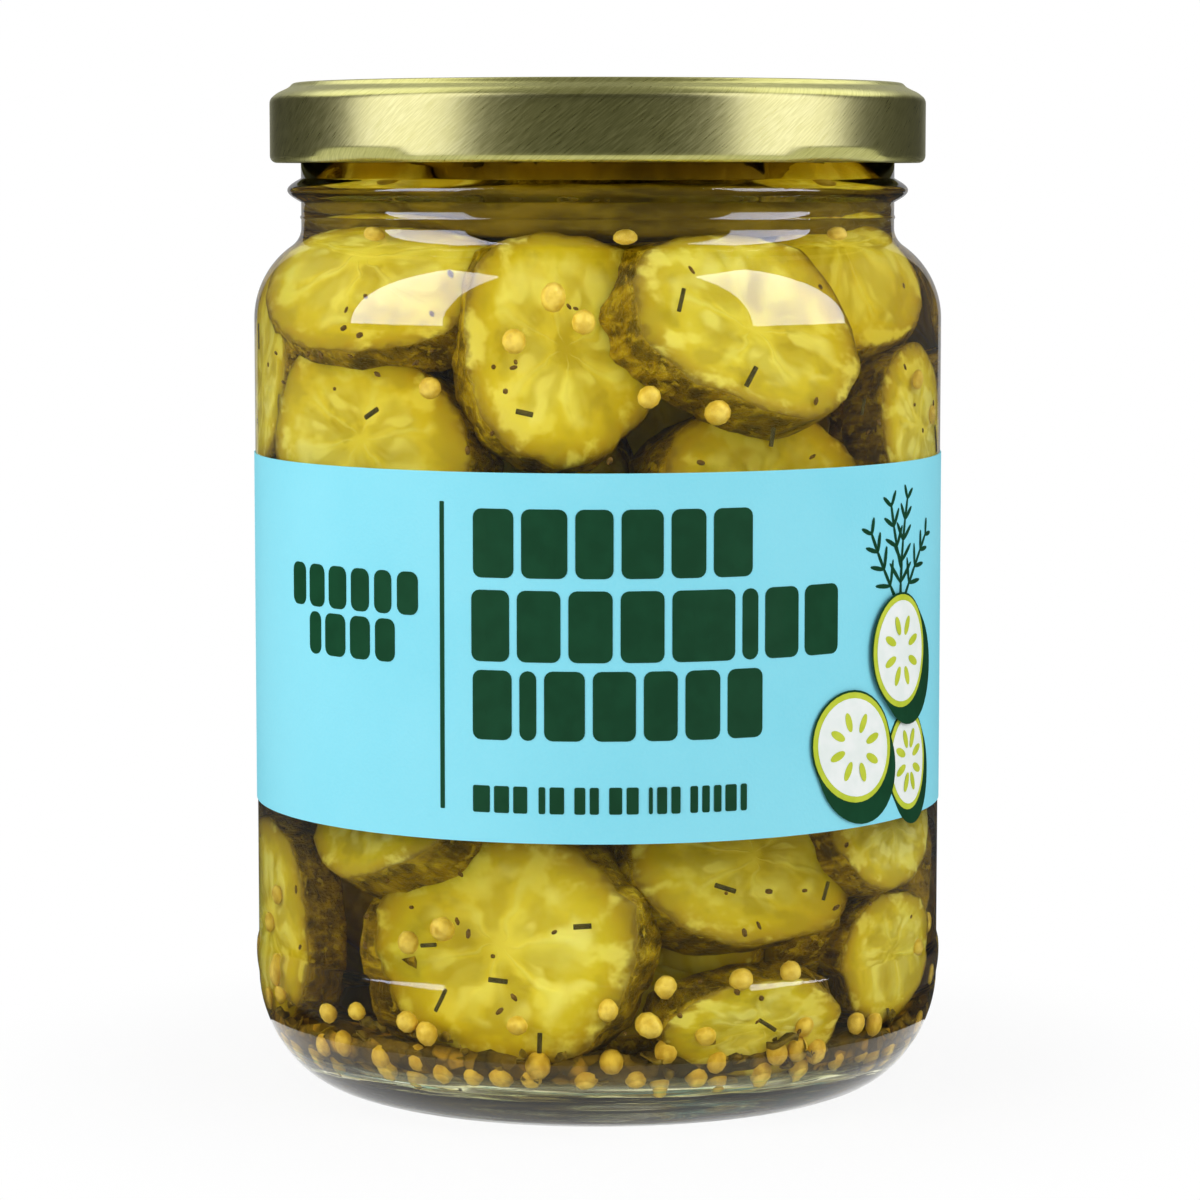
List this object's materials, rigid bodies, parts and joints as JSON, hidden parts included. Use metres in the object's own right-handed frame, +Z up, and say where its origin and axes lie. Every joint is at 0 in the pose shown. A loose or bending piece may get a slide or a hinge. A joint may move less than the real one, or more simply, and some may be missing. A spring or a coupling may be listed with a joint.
{
  "type": "pickle jar",
  "caption": "Round glass jar of sliced pickled cucumbers in brine with mustard seeds and dill, with a twist-off metal lid and a wrap-round paper label.",
  "frame": {"origin": "centre of the ring that the jar stands on, at the bottom of the glass", "axes": "+Z up along the jar's axis; the front of the label faces -Y"},
  "size_m": [0.0846, 0.0846, 0.1221],
  "materials": {
    "clear_glass": "clear gloss",
    "gold_lacquered_steel": "satin, gold lacquer over tinplate",
    "label_paper": "satin printed paper",
    "brine": "clear yellow-green liquid"
  },
  "bodies": {
    "root": {"glass_jar": "clear_glass", "lid": "gold_lacquered_steel", "label": "label_paper", "brine": "brine"}
  },
  "joints": []
}
